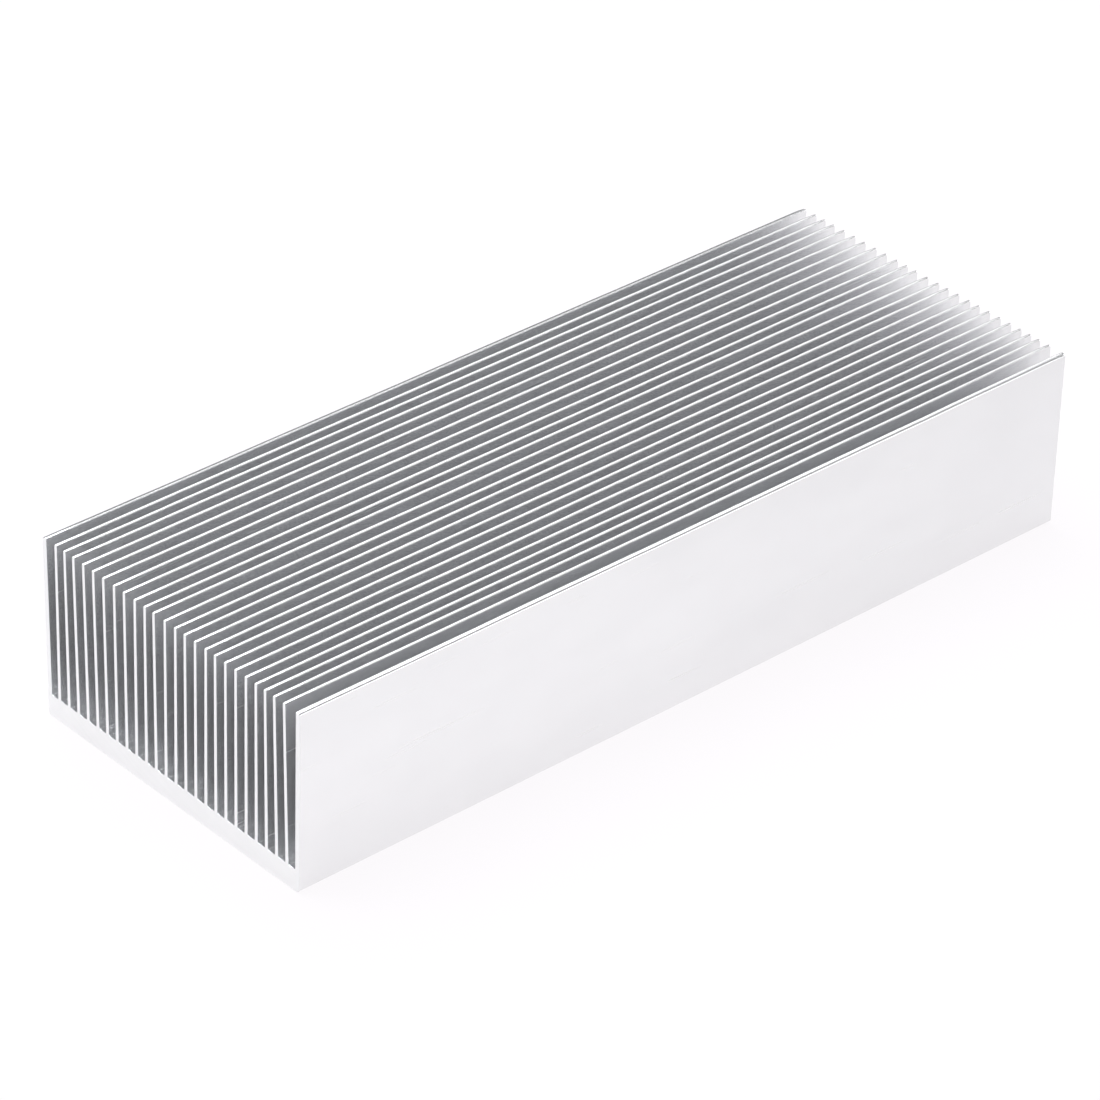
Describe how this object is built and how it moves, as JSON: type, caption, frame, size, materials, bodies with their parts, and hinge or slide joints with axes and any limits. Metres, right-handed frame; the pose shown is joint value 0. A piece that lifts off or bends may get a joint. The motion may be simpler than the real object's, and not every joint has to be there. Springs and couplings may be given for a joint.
{
  "type": "heat sink",
  "caption": "Extruded aluminium heat sink: a flat base with dense, thin, upright fins along its whole length, sawn square at both ends.",
  "frame": {"origin": "centre of the flat underside", "axes": "+X across the fins, +Y along the fins (the length of the extrusion), +Z from the underside towards the fin tips"},
  "size_m": [0.0696, 0.182, 0.037],
  "materials": {
    "aluminium": "satin"
  },
  "bodies": {
    "root": {"heat_sink": "aluminium"}
  },
  "joints": []
}
